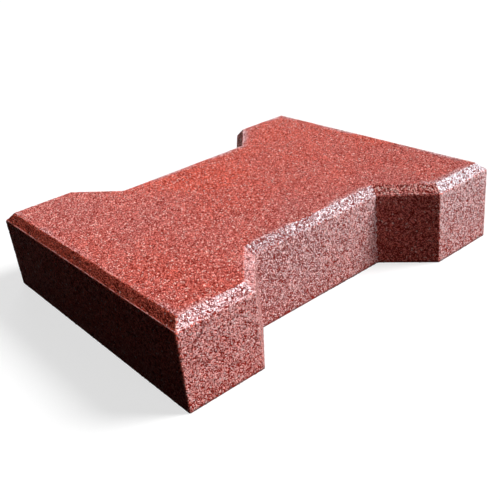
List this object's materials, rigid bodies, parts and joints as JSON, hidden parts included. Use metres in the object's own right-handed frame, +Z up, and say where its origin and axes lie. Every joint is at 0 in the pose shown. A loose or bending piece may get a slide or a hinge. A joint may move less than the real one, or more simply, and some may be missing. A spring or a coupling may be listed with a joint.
{
  "type": "rubber paver",
  "caption": "Dog-bone interlocking rubber paver with a bevelled walking face, moulded in one piece from bonded granulate.",
  "frame": {"origin": "middle of the underside", "axes": "+X along the block, +Y across it, +Z up through the walking face"},
  "size_m": [0.2, 0.16, 0.043],
  "materials": {
    "rubber_granulate": "matt brick-red rubber granulate, fine and open-pored, with a slight sheen on the grains"
  },
  "bodies": {
    "root": {"paver": "rubber_granulate"}
  },
  "joints": []
}
